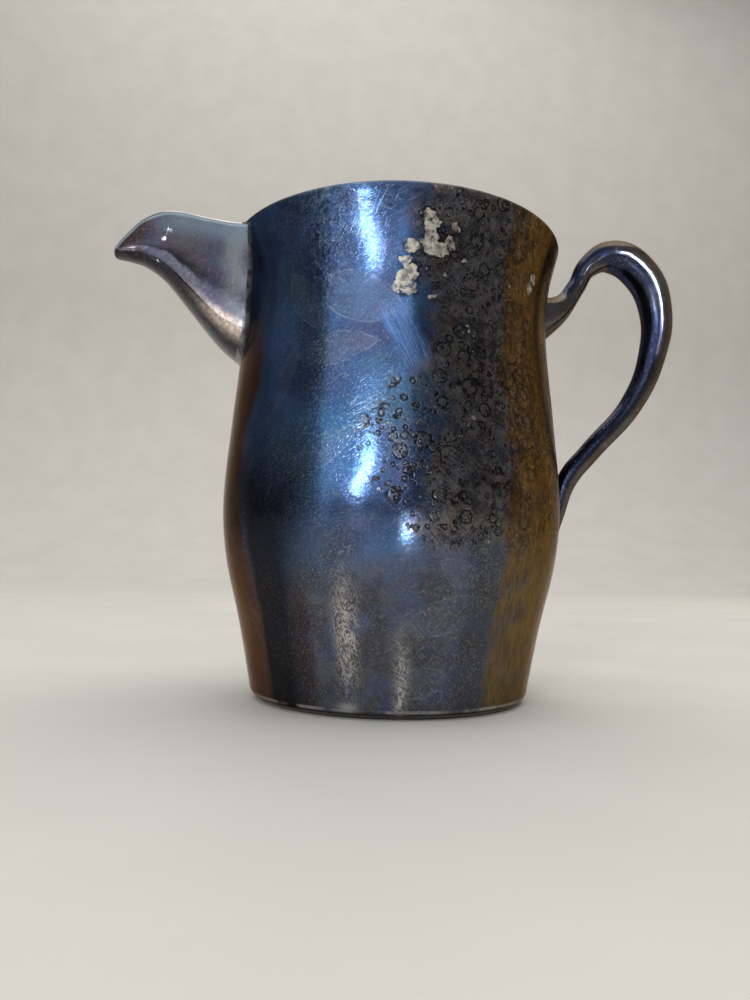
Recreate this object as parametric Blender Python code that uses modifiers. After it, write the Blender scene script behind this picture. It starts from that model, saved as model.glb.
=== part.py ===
"""Silver cream jug: a turned body with an inset base disc, an applied beak spout and a cast ear-shaped handle.

Metres, +Z up. The origin is the centre of the flat underside. The spout points to -X and the handle to +X,
and the jug is symmetric about the XZ plane.
"""
import math

import bmesh
import bpy

MM = 0.001

# Driving dimensions
BODY_HEIGHT = 90 * MM
WALL = 1.0 * MM            # sheet thickness of the body and the spout
GAP = 0.3 * MM             # clearance left between soldered pieces
FOOT_CORNER = 3.0 * MM     # outer radius of the turned-in foot edge
FOOT_OPENING = 22.3 * MM   # radius of the hole that the base disc fills
RIM_EDGE = 0.3 * MM        # rounding of the rim's two edges
TURN_STEPS = 64

# Body: (height, outer radius) from the foot edge to the rim
BODY_STATIONS = [
    (3 * MM, 27.4 * MM), (14 * MM, 29.6 * MM), (27 * MM, 32.7 * MM), (38 * MM, 33.65 * MM),
    (54 * MM, 32.5 * MM), (72 * MM, 31.0 * MM), (82 * MM, 31.7 * MM), (90 * MM, 33.6 * MM),
]

FOOT_CENTRE = (BODY_STATIONS[0][1] - FOOT_CORNER, FOOT_CORNER)
SIDE_TOP = BODY_HEIGHT - 5 * MM
SIDE_BOTTOM = FOOT_CORNER + 5 * MM
SIDE_STEPS = 9

# Base disc: a plug in the foot opening under a wider lip that rests on the turned-in edge
BASE_LIP_RADIUS = 23.8 * MM
BASE_LIP_BOTTOM = WALL + GAP
BASE_LIP_TOP = 2.1 * MM

# Spout: laws along its reach, the distance from the body's axis, as (reach, value)
SPOUT_ROOT = 27.0 * MM
SPOUT_TIP = 57.0 * MM
SPOUT_KEEL = [
    (27 * MM, 63.6 * MM), (32 * MM, 66.4 * MM), (36 * MM, 69.6 * MM), (42 * MM, 76.5 * MM),
    (47 * MM, 82.3 * MM), (51 * MM, 85.1 * MM), (54 * MM, 86.0 * MM), (57 * MM, 86.4 * MM),
]
SPOUT_EDGE = [
    (27 * MM, 89.2 * MM), (32 * MM, 89.6 * MM), (38 * MM, 91.2 * MM), (43 * MM, 92.9 * MM),
    (47 * MM, 93.5 * MM), (51 * MM, 92.5 * MM), (54 * MM, 90.2 * MM), (57 * MM, 87.6 * MM),
]
SPOUT_EDGE_HALF_WIDTH = [
    (27 * MM, 15.9 * MM), (30 * MM, 14.3 * MM), (36 * MM, 11.9 * MM), (44 * MM, 8.6 * MM),
    (50 * MM, 5.8 * MM), (54 * MM, 3.9 * MM), (56 * MM, 2.7 * MM), (57 * MM, 1.6 * MM),
]
SPOUT_KEEL_HALF_WIDTH = [
    (27 * MM, 9.0 * MM), (31 * MM, 8.2 * MM), (36 * MM, 6.8 * MM), (42 * MM, 5.2 * MM),
    (48 * MM, 3.7 * MM), (52 * MM, 3.0 * MM), (56 * MM, 2.2 * MM), (57 * MM, 1.4 * MM),
]
SPOUT_KEEL_ROUNDING = [
    (27 * MM, 7.0 * MM), (36 * MM, 5.6 * MM), (44 * MM, 4.1 * MM), (52 * MM, 1.7 * MM), (57 * MM, 0.7 * MM),
]
SPOUT_SECTIONS = 22
SPOUT_ROUND_POINTS = 7     # points on one side of the keel's rounding
SPOUT_SIDE_POINTS = 5      # points above it, up to the edge
SPOUT_FLARE_POWER = 1.6

# Pour opening in the body wall, inside the spout's foot line
OPENING_LEDGE = 0.8 * MM
OPENING_TOP = BODY_HEIGHT + 8 * MM

# Handle: (x, z, radius) along its centre line, from inside the upper joint to the tip of the tail
HANDLE_POINTS = [
    (30.0 * MM, 79.1 * MM, 5.2 * MM), (36.4 * MM, 82.5 * MM, 2.75 * MM), (39.9 * MM, 87.1 * MM, 2.0 * MM),
    (42.9 * MM, 92.2 * MM, 2.4 * MM), (48.4 * MM, 94.8 * MM, 3.55 * MM), (54.8 * MM, 91.6 * MM, 3.85 * MM),
    (58.4 * MM, 83.6 * MM, 3.5 * MM), (57.5 * MM, 73.2 * MM, 2.9 * MM), (52.5 * MM, 61.9 * MM, 2.4 * MM),
    (42.9 * MM, 51.0 * MM, 2.2 * MM), (37.7 * MM, 44.6 * MM, 2.1 * MM), (35.4 * MM, 36.9 * MM, 1.5 * MM),
    (33.5 * MM, 29.0 * MM, 0.9 * MM),
]

# Material colours, roughness and metallic value
TARNISHED_BODY = ((0.10, 0.12, 0.18, 1.0), 0.22, 1.0)
TARNISHED_BASE = ((0.14, 0.13, 0.14, 1.0), 0.30, 1.0)
TARNISHED_SPOUT = ((0.34, 0.32, 0.38, 1.0), 0.26, 1.0)
TARNISHED_HANDLE = ((0.09, 0.10, 0.14, 1.0), 0.20, 1.0)


def clear_scene():
    for scene_object in list(bpy.data.objects):
        bpy.data.objects.remove(scene_object, do_unlink=True)


def new_collection(name):
    collection = bpy.data.collections.new(name)
    bpy.context.scene.collection.children.link(collection)
    return collection


def new_material(name, look):
    colour, roughness, metallic = look
    material = bpy.data.materials.new(name)
    material.use_nodes = True
    shader = material.node_tree.nodes["Principled BSDF"]
    shader.inputs["Base Color"].default_value = colour
    shader.inputs["Roughness"].default_value = roughness
    shader.inputs["Metallic"].default_value = metallic
    material.diffuse_color = colour
    return material


def new_object(name, mesh, collection):
    mesh_object = bpy.data.objects.new(name, mesh)
    collection.objects.link(mesh_object)
    return mesh_object


def smooth_law(stations, position):
    """Value at a position on the smooth curve through (position, value) stations."""
    last = len(stations) - 1

    def slope(index):
        before = stations[max(index - 1, 0)]
        after = stations[min(index + 1, last)]
        return (after[1] - before[1]) / (after[0] - before[0])

    index = 0
    while index < last - 1 and position > stations[index + 1][0]:
        index += 1
    start, end = stations[index], stations[index + 1]
    span = end[0] - start[0]
    t = (position - start[0]) / span
    value = start[1] * (2 * t**3 - 3 * t**2 + 1)
    value += end[1] * (3 * t**2 - 2 * t**3)
    value += slope(index) * span * (t**3 - 2 * t**2 + t)
    value += slope(index + 1) * span * (t**3 - t**2)
    return value


def arc(centre, radius, start_degrees, end_degrees, steps):
    """Points (x, z) on an arc, angles measured from +X towards +Z."""
    points = []
    for step in range(steps + 1):
        angle = math.radians(start_degrees + (end_degrees - start_degrees) * step / steps)
        points.append((centre[0] + radius * math.cos(angle), centre[1] + radius * math.sin(angle)))
    return points


def side_points(offset):
    """Points (x, z) down the side between the rim and the foot edge, moved out by an offset."""
    points = []
    for step in range(SIDE_STEPS + 1):
        height = SIDE_TOP + (SIDE_BOTTOM - SIDE_TOP) * step / SIDE_STEPS
        points.append((smooth_law(BODY_STATIONS, height) + offset, height))
    return points


def turned(name, profile, closed, collection):
    """Solid of revolution about Z from an (x, z) profile that runs down its outer side."""
    mesh = bpy.data.meshes.new(name)
    points = [(x, 0.0, z) for x, z in profile]
    edges = [(index, index + 1) for index in range(len(points) - 1)]
    if closed:
        edges.append((len(points) - 1, 0))
    mesh.from_pydata(points, edges, [])
    turned_object = new_object(name, mesh, collection)
    screw = turned_object.modifiers.new("Turn", "SCREW")
    screw.angle = math.tau
    screw.axis = "Z"
    screw.steps = TURN_STEPS
    screw.render_steps = TURN_STEPS
    screw.use_merge_vertices = True
    screw.merge_threshold = 0.00001
    return turned_object


def body_profile():
    """Closed profile of the wall: outside, foot edge, underside, inside and rim."""
    rim_radius = BODY_STATIONS[-1][1]
    profile = [(rim_radius, BODY_HEIGHT - RIM_EDGE)]
    profile += side_points(0.0)
    profile += arc(FOOT_CENTRE, FOOT_CORNER, 0, -90, 5)
    profile += [(FOOT_OPENING, 0.0), (FOOT_OPENING, WALL)]
    profile += arc(FOOT_CENTRE, FOOT_CORNER - WALL, -90, 0, 4)
    profile += reversed(side_points(-WALL))
    profile.append((rim_radius - WALL, BODY_HEIGHT - RIM_EDGE))
    profile.append((rim_radius - WALL + RIM_EDGE, BODY_HEIGHT))
    profile.append((rim_radius - RIM_EDGE, BODY_HEIGHT))
    return profile


def body_envelope_profile():
    """Outer side of the body, moved out by the joint gap and closed on the axis, for coping the joints."""
    rim_radius = BODY_STATIONS[-1][1] + GAP
    profile = [(0.0, OPENING_TOP), (rim_radius, OPENING_TOP), (rim_radius, BODY_HEIGHT - RIM_EDGE)]
    profile += side_points(GAP)
    profile += arc(FOOT_CENTRE, FOOT_CORNER + GAP, 0, -90, 5)
    profile.append((0.0, -GAP))
    return profile


def base_profile():
    plug_radius = FOOT_OPENING - GAP
    return [
        (0.0, BASE_LIP_TOP), (BASE_LIP_RADIUS, BASE_LIP_TOP), (BASE_LIP_RADIUS, BASE_LIP_BOTTOM),
        (plug_radius, BASE_LIP_BOTTOM), (plug_radius, 0.0), (0.0, 0.0),
    ]


def spout_half_section(reach, inset):
    """Half of the trough's section at a reach, as (y, z) from the keel to the edge, moved in by inset."""
    keel = smooth_law(SPOUT_KEEL, reach)
    edge = smooth_law(SPOUT_EDGE, reach)
    rounding = smooth_law(SPOUT_KEEL_ROUNDING, reach)
    keel_width = smooth_law(SPOUT_KEEL_HALF_WIDTH, reach) - inset
    edge_width = smooth_law(SPOUT_EDGE_HALF_WIDTH, reach) - inset
    keel_slope = (smooth_law(SPOUT_KEEL, reach + 0.1 * MM) - keel) / (0.1 * MM)
    inner_keel = keel + inset * math.sqrt(1 + keel_slope**2)
    rounding *= (edge - inner_keel) / (edge - keel)
    points = []
    for step in range(SPOUT_ROUND_POINTS + 1):
        angle = math.pi / 2 * step / SPOUT_ROUND_POINTS
        rise = rounding * (1 - math.cos(angle)**0.9)
        points.append((keel_width * math.sin(angle)**0.9, inner_keel + rise))
    side_bottom = inner_keel + rounding
    for step in range(1, SPOUT_SIDE_POINTS + 1):
        u = step / SPOUT_SIDE_POINTS
        flare = (edge_width - keel_width) * u**SPOUT_FLARE_POWER
        points.append((keel_width + flare, side_bottom + (edge - side_bottom) * u))
    return points


def spout_section(reach, inset):
    """Whole trough section as (y, z) from the -Y edge down round the keel and up to the +Y edge."""
    half = spout_half_section(reach, inset)
    mirrored = [(-y, z) for y, z in reversed(half[1:])]
    return mirrored + half


def loft(sections):
    """Faces between consecutive rings of 3-D points; the two end faces are left to the caller."""
    builder = bmesh.new()
    rings = [[builder.verts.new(point) for point in section] for section in sections]
    count = len(rings[0])
    for ring, following in zip(rings, rings[1:]):
        for index in range(count):
            after = (index + 1) % count
            builder.faces.new((ring[index], ring[after], following[after], following[index]))
    return builder, rings


def finish_loft(builder, name, collection):
    bmesh.ops.recalc_face_normals(builder, faces=builder.faces)
    mesh = bpy.data.meshes.new(name)
    builder.to_mesh(mesh)
    builder.free()
    return new_object(name, mesh, collection)


def spout_reaches():
    """Section places, closer together where the tip turns down."""
    reaches = []
    for step in range(SPOUT_SECTIONS + 1):
        t = step / SPOUT_SECTIONS
        reaches.append(SPOUT_ROOT + (SPOUT_TIP - SPOUT_ROOT) * math.sin(t * math.pi / 2)**1.1)
    return reaches


def make_spout(collection):
    """Trough of sheet: each ring runs along the outside from edge to edge and back along the inside."""
    sections = []
    for reach in spout_reaches():
        outside = spout_section(reach, 0.0)
        inside = spout_section(reach, WALL)
        ring = outside + list(reversed(inside))
        sections.append([(-reach, y, z) for y, z in ring])
    builder, rings = loft(sections)
    half = len(rings[0]) // 2
    for ring in (rings[0], rings[-1]):
        for index in range(half - 1):
            opposite = len(ring) - 1 - index
            builder.faces.new((ring[index], ring[index + 1], ring[opposite - 1], ring[opposite]))
    return finish_loft(builder, "spout", collection)


def make_opening_cutter(collection):
    """Prism that follows the spout's foot line, inset by the sheet and the soldering ledge."""
    outline = spout_section(BODY_STATIONS[-2][1], WALL + OPENING_LEDGE)
    outline = [(outline[0][0], OPENING_TOP)] + outline + [(outline[-1][0], OPENING_TOP)]
    sections = [[(-reach, y, z) for y, z in outline] for reach in (20 * MM, 40 * MM)]
    builder, rings = loft(sections)
    for ring in rings:
        builder.faces.new(ring)
    return finish_loft(builder, "opening_cutter", collection)


def make_handle(collection):
    curve = bpy.data.curves.new("handle_curve", "CURVE")
    curve.dimensions = "3D"
    curve.bevel_depth = MM
    curve.bevel_resolution = 3
    curve.resolution_u = 7
    curve.use_fill_caps = True
    spline = curve.splines.new("BEZIER")
    spline.radius_interpolation = "CARDINAL"
    spline.bezier_points.add(len(HANDLE_POINTS) - 1)
    for point, (x, z, radius) in zip(spline.bezier_points, HANDLE_POINTS):
        point.co = (x, 0.0, z)
        point.radius = radius / MM
        point.handle_left_type = "AUTO"
        point.handle_right_type = "AUTO"
    curve_object = new_object("handle_curve", curve, collection)
    bpy.context.view_layer.update()
    evaluated = curve_object.evaluated_get(bpy.context.evaluated_depsgraph_get())
    mesh = bpy.data.meshes.new_from_object(evaluated)
    handle = new_object("handle", mesh, collection)
    handle.matrix_world = curve_object.matrix_world.copy()
    bpy.data.objects.remove(curve_object, do_unlink=True)
    builder = bmesh.new()
    builder.from_mesh(mesh)
    bmesh.ops.remove_doubles(builder, verts=builder.verts, dist=0.00001)
    bmesh.ops.recalc_face_normals(builder, faces=builder.faces)
    builder.to_mesh(mesh)
    builder.free()
    return handle


def cut(target, cutter, name):
    boolean = target.modifiers.new(name, "BOOLEAN")
    boolean.operation = "DIFFERENCE"
    boolean.solver = "EXACT"
    boolean.object = cutter


def as_cutter(cutter):
    cutter.hide_render = True
    cutter.display_type = "WIRE"
    return cutter


def apply_modifiers(mesh_object):
    """Replace the object's mesh by its evaluated one, so that the shading can be set on it."""
    evaluated = mesh_object.evaluated_get(bpy.context.evaluated_depsgraph_get())
    mesh = bpy.data.meshes.new_from_object(evaluated)
    mesh_object.modifiers.clear()
    mesh_object.data = mesh


def shade(mesh_object, material):
    mesh = mesh_object.data
    mesh.materials.clear()
    mesh.materials.append(material)
    mesh.shade_smooth()
    mesh.set_sharp_from_angle(angle=math.radians(40))


def main():
    clear_scene()
    parts = new_collection("cream_jug")
    cutters = new_collection("cutters")

    body = turned("body", body_profile(), True, parts)
    base = turned("base_disc", base_profile(), False, parts)
    spout = make_spout(parts)
    handle = make_handle(parts)

    envelope = as_cutter(turned("body_envelope", body_envelope_profile(), False, cutters))
    opening = as_cutter(make_opening_cutter(cutters))
    cut(body, opening, "Pour opening")
    cut(spout, envelope, "Cope to body")
    cut(handle, envelope, "Cope to body")

    looks = (
        (body, TARNISHED_BODY), (base, TARNISHED_BASE), (spout, TARNISHED_SPOUT), (handle, TARNISHED_HANDLE),
    )
    bpy.context.view_layer.update()
    for part, look in looks:
        apply_modifiers(part)
        shade(part, new_material(part.name + "_silver", look))


main()
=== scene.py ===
import math

import bmesh
import bpy
from mathutils import Matrix, Vector


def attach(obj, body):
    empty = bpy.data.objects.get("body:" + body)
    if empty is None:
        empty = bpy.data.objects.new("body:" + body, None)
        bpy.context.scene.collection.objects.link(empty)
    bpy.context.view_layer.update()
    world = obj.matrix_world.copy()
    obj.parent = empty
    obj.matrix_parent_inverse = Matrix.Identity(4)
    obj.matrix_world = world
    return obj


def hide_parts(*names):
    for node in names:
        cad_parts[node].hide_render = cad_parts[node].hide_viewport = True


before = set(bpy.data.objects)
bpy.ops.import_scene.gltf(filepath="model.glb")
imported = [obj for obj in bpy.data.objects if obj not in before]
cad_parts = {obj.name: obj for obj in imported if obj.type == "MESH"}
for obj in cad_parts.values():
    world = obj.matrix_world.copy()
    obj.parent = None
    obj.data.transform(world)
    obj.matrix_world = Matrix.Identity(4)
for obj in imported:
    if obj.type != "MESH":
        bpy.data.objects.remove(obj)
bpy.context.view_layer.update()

MM = 0.001


def in_metres(rows):
    """Rows of values in millimetres as rows of values in metres."""
    return [tuple(value * MM for value in row) for row in rows]


# The part's own driving dimensions, repeated here because this script reads only the frame
BODY_HEIGHT = 90 * MM
WALL = 1.0 * MM
FOOT_CORNER = 3.0 * MM
FOOT_OPENING = 22.3 * MM
BODY_STATIONS = in_metres([
    (3, 27.4), (14, 29.6), (27, 32.7), (38, 33.65), (54, 32.5), (72, 31), (82, 31.7), (90, 33.6),
])
FOOT_CENTRE = (BODY_STATIONS[0][1] - FOOT_CORNER, FOOT_CORNER)

SPOUT_ROOT = 27.0 * MM
SPOUT_TIP = 57.0 * MM
SPOUT_KEEL = in_metres([
    (27, 63.6), (32, 66.4), (36, 69.6), (42, 76.5), (47, 82.3), (51, 85.1), (54, 86), (57, 86.4),
])
SPOUT_EDGE = in_metres([
    (27, 89.2), (32, 89.6), (38, 91.2), (43, 92.9), (47, 93.5), (51, 92.5), (54, 90.2), (57, 87.6),
])
SPOUT_EDGE_HALF_WIDTH = in_metres([
    (27, 15.9), (30, 14.3), (36, 11.9), (44, 8.6), (50, 5.8), (54, 3.9), (56, 2.7), (57, 1.6),
])
SPOUT_KEEL_HALF_WIDTH = in_metres([
    (27, 9), (31, 8.2), (36, 6.8), (42, 5.2), (48, 3.7), (52, 3), (56, 2.2), (57, 1.4),
])
SPOUT_KEEL_ROUNDING = in_metres([(27, 7), (36, 5.6), (44, 4.1), (52, 1.7), (57, 0.7)])
SPOUT_FLARE_POWER = 1.6
SPOUT_ROUND_POWER = 0.9
SPOUT_PLACES = ("edge_depth", "keel_rise")     # names of the values that store_places stores
OPENING_LEDGE = 0.8 * MM
OPENING_TOP = BODY_HEIGHT + 8 * MM

# Handle centre line and radius: x, z, radius
HANDLE_POINTS = in_metres([
    (30, 79.1, 5.2), (36.4, 82.5, 2.75), (39.9, 87.1, 2), (42.9, 92.2, 2.4), (48.4, 94.8, 3.55),
    (54.8, 91.6, 3.85), (58.4, 83.6, 3.5), (57.5, 73.2, 2.9), (52.5, 61.9, 2.4), (42.9, 51, 2.2),
    (37.7, 44.6, 2.1), (35.4, 36.9, 1.5), (33.5, 29, 0.9),
])

# Fineness of the visual meshes
TURN_STEPS = 256
SIDE_STEPS = 70
SPOUT_SECTIONS = 60
SPOUT_CROWDING = 1.1       # above 1 the sections crowd towards the root
SPOUT_ROUND_POINTS = 16
SPOUT_SIDE_POINTS = 14
TIP_LENGTH = 0.5 * MM      # rounded end of the spout
TIP_STEPS = 6
TIP_CLOSING = 0.45
LIP_STEPS = 6
FILLET_STEPS = 120
FILLET_ARC_STEPS = 8
FILLET_WIDTH = 1.2 * MM
FILLET_SPOUT_BITE = 0.25 * MM
FILLET_WALL_BITE = 0.3 * MM
JOINT_BITE = 0.4 * MM      # how far the soldered pieces reach into the wall here
SLOPE_STEP = 0.1 * MM      # for measuring slopes
SHARP_ANGLE = 35.0

# Tarnish colours, linear: the blue field and the marks on it
NAVY = (0.034, 0.062, 0.14)
STEEL_BLUE = (0.058, 0.128, 0.285)
VIOLET = (0.08, 0.078, 0.165)
TEAL = (0.045, 0.115, 0.165)
SWELL_BLUE = (0.028, 0.125, 0.29)
# Painted sheen on the brushed patch
BRUSHED_SHEEN_BLUE = (0.115, 0.235, 0.52)
GREY = (0.12, 0.124, 0.148)
SLATE = (0.078, 0.076, 0.082)
FOOT_BLUE = (0.085, 0.11, 0.205)
FOOT_BROWN = (0.105, 0.092, 0.082)
HAZE = (0.14, 0.18, 0.23)
SMEAR_LINE = (0.3, 0.36, 0.44)
# Dark and pale speckle painted as the broken reflection of the hammered patch
HAMMERED_DARK = (0.016, 0.03, 0.075)
HAMMERED_PALE = (0.26, 0.34, 0.46)

# The spotted field
SPOTTED_DARK = (0.046, 0.041, 0.04)
SPOTTED_PALE = (0.17, 0.15, 0.134)
SPOTTED_BLUE = (0.08, 0.09, 0.13)
MOSS = (0.085, 0.1, 0.05)
RUST = (0.12, 0.068, 0.04)
PIT_FLOOR = (0.15, 0.136, 0.126)
CRUST_PALE = (0.3, 0.275, 0.24)

# The brown side with its painted warm reflection, the left edge's painted warm reflection, and painted shade,
# dark reflections and highlight streaks low down
# Brown tarnish, partly painted as a warm reflection; the ochre is a painted warm reflection low down
BROWN = (0.132, 0.072, 0.02)
UMBER = (0.064, 0.035, 0.012)
OCHRE = (0.19, 0.14, 0.066)
BROWN_STREAK_DARK = (0.04, 0.026, 0.012)
BROWN_STREAK_PALE = (0.28, 0.21, 0.12)
CRACKED_CELL = (0.19, 0.12, 0.085)
# Painted warm reflection at the left edge
RUSSET = (0.085, 0.04, 0.022)
RUSSET_DARK = (0.06, 0.03, 0.03)
# Painted dark reflections and painted shade low on the wall
LOW_DARK_REFLECTION = (0.012, 0.013, 0.016)
LOW_RED_REFLECTION = (0.045, 0.024, 0.028)
LEFT_SHADE = (0.014, 0.02, 0.034)
RIGHT_SHADE = (0.04, 0.04, 0.044)

# Shared darks, and bare metal that also colours painted glints
NEAR_BLACK = (0.02, 0.021, 0.03)
PITCH = (0.006, 0.006, 0.01)
BARE_AND_GLINT = (0.5, 0.465, 0.4)
BARE_AND_GLINT_DULL = (0.2, 0.18, 0.16)
# Worn metal, also used for the painted highlight along the foot
WORN_AND_HIGHLIGHT = (0.62, 0.62, 0.64)
# Painted highlight for the upright streaks low on the wall
PAINTED_STREAK_HIGHLIGHT = (0.64, 0.6, 0.55)

# Inside, base, spout, worn edge, solder, handle and floor
# The last inside colour is painted shade deep inside
INSIDE_PALE, INSIDE_DULL, INSIDE_DEEP_SHADE = (0.42, 0.4, 0.36), (0.22, 0.2, 0.19), (0.12, 0.1, 0.09)
BASE_DULL, BASE_PALE = (0.1, 0.09, 0.09), (0.22, 0.21, 0.21)
SPOUT_BLUE, SPOUT_VIOLET = (0.09, 0.116, 0.196), (0.12, 0.09, 0.156)
SPOUT_GREY, SPOUT_ROOT_PALE = (0.13, 0.148, 0.158), (0.27, 0.31, 0.33)
SPOUT_TIP_BROWN, SPOUT_MAUVE = (0.046, 0.028, 0.02), (0.09, 0.056, 0.07)
# The first of these is a painted sheen below the pouring edge
SPOUT_EDGE_SHEEN, SPOUT_CRYSTAL = (0.22, 0.31, 0.43), (0.4, 0.38, 0.44)
# Painted shade on the flank and keel, and a painted highlight along the keel
FLANK_SHADE, KEEL_SHADE, PAINTED_KEEL_HIGHLIGHT = (0.044, 0.036, 0.056), (0.022, 0.018, 0.02), (0.95, 0.8, 0.68)
# The first of these is a painted highlight along the pouring edge
PAINTED_LIP_HIGHLIGHT, EDGE_DULL, EDGE_BRIGHT = (0.42, 0.56, 0.68), (0.34, 0.42, 0.52), (0.62, 0.68, 0.74)
SOLDER_DARK, SOLDER_PALE = (0.06, 0.064, 0.08), (0.22, 0.225, 0.235)
HANDLE_NAVY, HANDLE_BLUE = (0.016, 0.024, 0.062), (0.03, 0.036, 0.064)
# The first of these is worn metal that also carries a painted sheen towards the handle's edges
HANDLE_WORN_AND_SHEEN, HANDLE_WARM, HANDLE_SPECK = (0.115, 0.108, 0.102), (0.105, 0.078, 0.058), (0.3, 0.28, 0.27)
FLOOR_DULL, FLOOR_PALE = (0.7, 0.67, 0.62), (0.74, 0.71, 0.66)

# What the metal turns towards at grazing angles
UNTINTED = (1, 1, 1)
BODY_GRAZING = (0.64, 0.54, 0.45)
HANDLE_GRAZING = (0.5, 0.42, 0.34)

# Places on the wall: degrees from the front (-Y) towards the handle (+X), then millimetres
WALL_MIDDLE_RADIUS = 32.0
BARE_AND_GLINT_PLACES = [            # degrees, height, radius
    (1, 84.6, 1.2), (2, 83.4, 1.5), (2, 81.6, 1.2), (2, 79.8, 1.7), (5, 79.2, 1.5), (8, 80.6, 1.2),
    (10, 83.2, 0.9), (-4, 79.6, 1.3), (-6, 77, 1.1), (-4, 75.2, 1.4), (-7, 74.4, 1.1), (-5, 72.6, 1.6),
    (-8, 72.8, 1.1), (3, 70.6, 0.6), (13, 78, 0.6), (7, 75.2, 0.5), (46, 79.4, 1.1), (44, 77.2, 0.9),
    # The last four rows are painted glints
    (15, 66.2, 0.5), (16, 64.6, 0.4), (15, 50.4, 0.5), (14, 48.8, 0.4),
]
LEAVES = [                 # degrees, height, tilt in degrees, half length, half width
    (-38, 71, -55, 7, 2.6), (-27, 62, 8, 7.5, 2.9), (-20, 71, -20, 9, 4.4),
    (-44, 58, 70, 6, 1.6), (9, 17.5, 18, 9, 2.8), (12, 24.5, -30, 4, 2.2),
    (2, 6.5, 10, 5.5, 2.6), (-30, 44, 35, 8, 2.4),
]
BRUSHED_PLACE = (-5.5, 64, -63)      # degrees, height, tilt in degrees
HAMMERED_DEGREES = -32.0
HAMMERED_FROM = 66
# Upright painted highlight streaks low on the wall
FIRST_STREAK_DEGREES = -22.5
SECOND_STREAK_DEGREES = -4.5

# Ring marks and dots: cell size, smallest and largest radius, share of cells that have one
RING_SIZES = [(4.6, 0.8, 1.7, 0.8), (3.6, 0.55, 1.3, 0.75), (2.3, 0.35, 0.85, 0.85), (1.4, 0.22, 0.5, 0.75)]
DOT_SIZES = [(2.4, 0.12, 0.34, 0.45), (1.1, 0.08, 0.2, 0.3)]


# ---------------------------------------------------------------- geometry

def smooth_law(stations, position):
    """Value at a position on the smooth curve through (position, value) stations."""
    last = len(stations) - 1

    def slope(index):
        before = stations[max(index - 1, 0)]
        after = stations[min(index + 1, last)]
        return (after[1] - before[1]) / (after[0] - before[0])

    index = 0
    while index < last - 1 and position > stations[index + 1][0]:
        index += 1
    start, end = stations[index], stations[index + 1]
    span = end[0] - start[0]
    t = (position - start[0]) / span
    value = start[1] * (2 * t**3 - 3 * t**2 + 1)
    value += end[1] * (3 * t**2 - 2 * t**3)
    value += slope(index) * span * (t**3 - 2 * t**2 + t)
    value += slope(index + 1) * span * (t**3 - t**2)
    return value


def body_radius(height):
    return smooth_law(BODY_STATIONS, height)


def arc(centre, radius, start_degrees, end_degrees, steps):
    points = []
    for step in range(steps + 1):
        angle = math.radians(start_degrees + (end_degrees - start_degrees) * step / steps)
        points.append((centre[0] + radius * math.cos(angle), centre[1] + radius * math.sin(angle)))
    return points


def side_points(offset, top, bottom, steps):
    points = []
    for step in range(steps + 1):
        height = top + (bottom - top) * step / steps
        points.append((body_radius(height) + offset, height))
    return points


def add_object(name, data):
    piece = bpy.data.objects.new(name, data)
    bpy.context.scene.collection.objects.link(piece)
    return piece


def turned(name, profile, closed):
    """The profile's (radius, height) points turned about the upright axis."""
    mesh = bpy.data.meshes.new(name)
    edges = [(index, index + 1) for index in range(len(profile) - 1)]
    if closed:
        edges.append((len(profile) - 1, 0))
    mesh.from_pydata([(x, 0, z) for x, z in profile], edges, [])
    piece = add_object(name, mesh)
    screw = piece.modifiers.new("Turn", "SCREW")
    screw.angle = math.tau
    screw.steps = TURN_STEPS
    screw.render_steps = TURN_STEPS
    screw.use_merge_vertices = True
    screw.merge_threshold = 0.001 * MM
    return piece


def from_builder(name, builder):
    bmesh.ops.recalc_face_normals(builder, faces=builder.faces)
    mesh = bpy.data.meshes.new(name)
    builder.to_mesh(mesh)
    builder.free()
    return add_object(name, mesh)


def loft(sections):
    """A skin over closed sections, and its rings of vertices for closing the ends."""
    builder = bmesh.new()
    rings = [[builder.verts.new(point) for point in section] for section in sections]
    count = len(rings[0])
    for ring, following in zip(rings, rings[1:]):
        for index in range(count):
            after = (index + 1) % count
            builder.faces.new((ring[index], ring[after], following[after], following[index]))
    return builder, rings


def bake_modifiers(piece):
    evaluated = piece.evaluated_get(bpy.context.evaluated_depsgraph_get())
    mesh = bpy.data.meshes.new_from_object(evaluated)
    piece.modifiers.clear()
    piece.data = mesh


def subtract(piece, cutter):
    boolean = piece.modifiers.new("Cut", "BOOLEAN")
    boolean.operation = "DIFFERENCE"
    boolean.solver = "EXACT"
    boolean.object = cutter
    bake_modifiers(piece)
    bpy.data.objects.remove(cutter, do_unlink=True)


def body_envelope(bite):
    """The body's outer form, smaller by the bite, for ending the soldered pieces inside the wall."""
    rim = body_radius(BODY_HEIGHT) - bite
    profile = [(0, OPENING_TOP), (rim, OPENING_TOP)]
    profile += side_points(-bite, BODY_HEIGHT, FOOT_CORNER, SIDE_STEPS)
    profile.append((0, FOOT_CORNER))
    return turned("envelope", profile, False)


def make_body():
    rim = body_radius(BODY_HEIGHT)
    half = WALL / 2
    top = BODY_HEIGHT - half
    profile = side_points(0, top, FOOT_CORNER, SIDE_STEPS)
    profile += arc(FOOT_CENTRE, FOOT_CORNER, 0, -90, 12)[1:]
    profile += [(FOOT_OPENING, 0), (FOOT_OPENING, WALL)]
    profile += arc(FOOT_CENTRE, FOOT_CORNER - WALL, -90, 0, 10)
    profile += reversed(side_points(-WALL, top, FOOT_CORNER, SIDE_STEPS)[:-1])
    profile += arc((rim - half, top), half, 180, 0, 8)[1:-1]
    body = turned("body_shell", profile, True)
    bake_modifiers(body)
    subtract(body, opening_cutter())
    return body


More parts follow.
